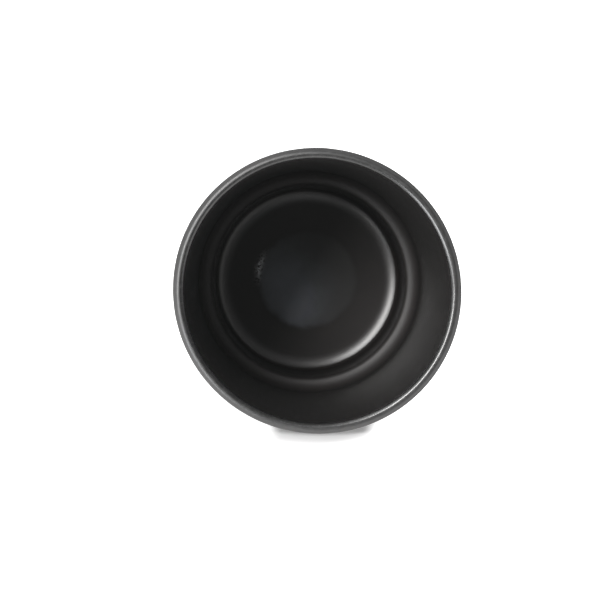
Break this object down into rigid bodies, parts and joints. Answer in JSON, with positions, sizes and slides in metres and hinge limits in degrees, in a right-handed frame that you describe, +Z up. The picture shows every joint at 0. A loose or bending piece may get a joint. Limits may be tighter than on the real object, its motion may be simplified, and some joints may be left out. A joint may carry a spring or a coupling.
{
  "type": "mug",
  "caption": "Handleless stoneware mug with a satin black glaze, a grey lip, a stepped well inside and a bare foot ring.",
  "frame": {"origin": "middle of the foot ring's face, on the surface that the mug stands on", "axes": "+Z up along the turning axis; the mug is round, so X and Y are any two directions across it"},
  "size_m": [0.085, 0.085, 0.09],
  "materials": {
    "bare_clay": "fired stoneware, unglazed, dark warm grey, dry and slightly gritty",
    "satin_glaze": "black glaze, satin, with a fine orange-peel surface",
    "lip_glaze": "the same glaze where it runs thin over the lip: mottled charcoal, with a grey sheen"
  },
  "bodies": {
    "root": {"clay_body": "bare_clay", "inner_glaze": "satin_glaze", "lip_glaze": "lip_glaze", "outer_glaze": "satin_glaze", "base_glaze": "satin_glaze"}
  },
  "joints": []
}
